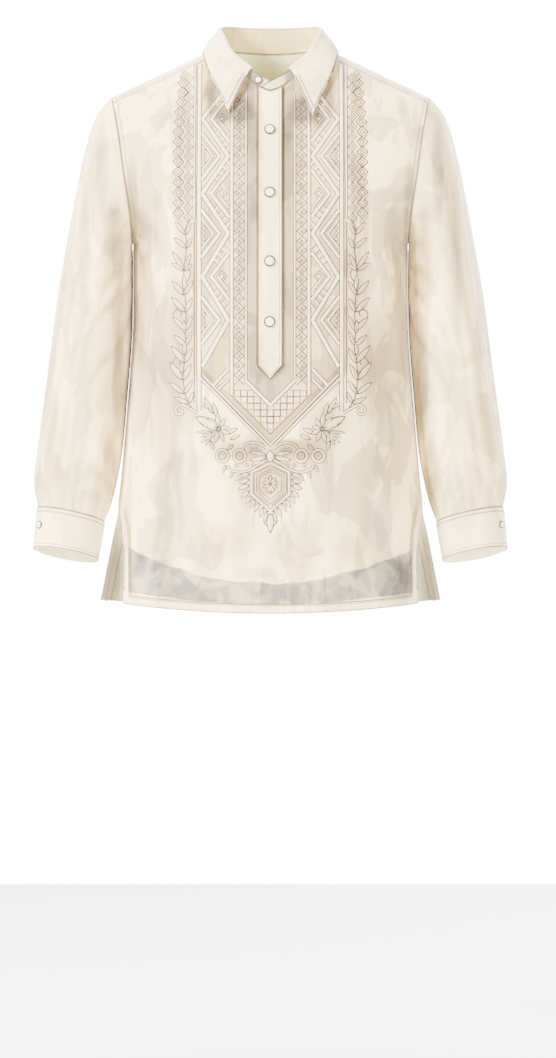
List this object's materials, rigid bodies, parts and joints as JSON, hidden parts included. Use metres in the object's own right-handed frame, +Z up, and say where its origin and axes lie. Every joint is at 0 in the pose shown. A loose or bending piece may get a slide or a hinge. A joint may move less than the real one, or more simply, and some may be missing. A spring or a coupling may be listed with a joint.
{
  "type": "barong tagalog",
  "caption": "Long sheer embroidered overshirt with a pointed collar, half-length button placket, yoke, buttoned cuffs and side slits, hollow in its worn form.",
  "frame": {"origin": "on the centre line at the height of the neck's side points, between the shoulders that carry the garment", "axes": "+Z up, the front faces -Y, the wearer's left arm is on +X"},
  "size_m": [0.672, 0.2646, 0.8361],
  "materials": {
    "sheer_cloth": "matte, sheer",
    "collar_cloth": "matte",
    "button_pearl": "pearl gloss"
  },
  "bodies": {
    "root": {"front": "sheer_cloth", "back": "sheer_cloth", "yoke": "sheer_cloth", "sleeve_left": "sheer_cloth", "sleeve_right": "sheer_cloth", "placket": "sheer_cloth", "collar_stand": "collar_cloth", "collar_leaf": "collar_cloth", "cuff_left": "collar_cloth", "cuff_right": "collar_cloth", "button_front_1": "button_pearl", "button_front_2": "button_pearl", "button_front_3": "button_pearl", "button_front_4": "button_pearl", "button_neck": "button_pearl", "button_cuff_left": "button_pearl", "button_cuff_right": "button_pearl"}
  },
  "joints": []
}
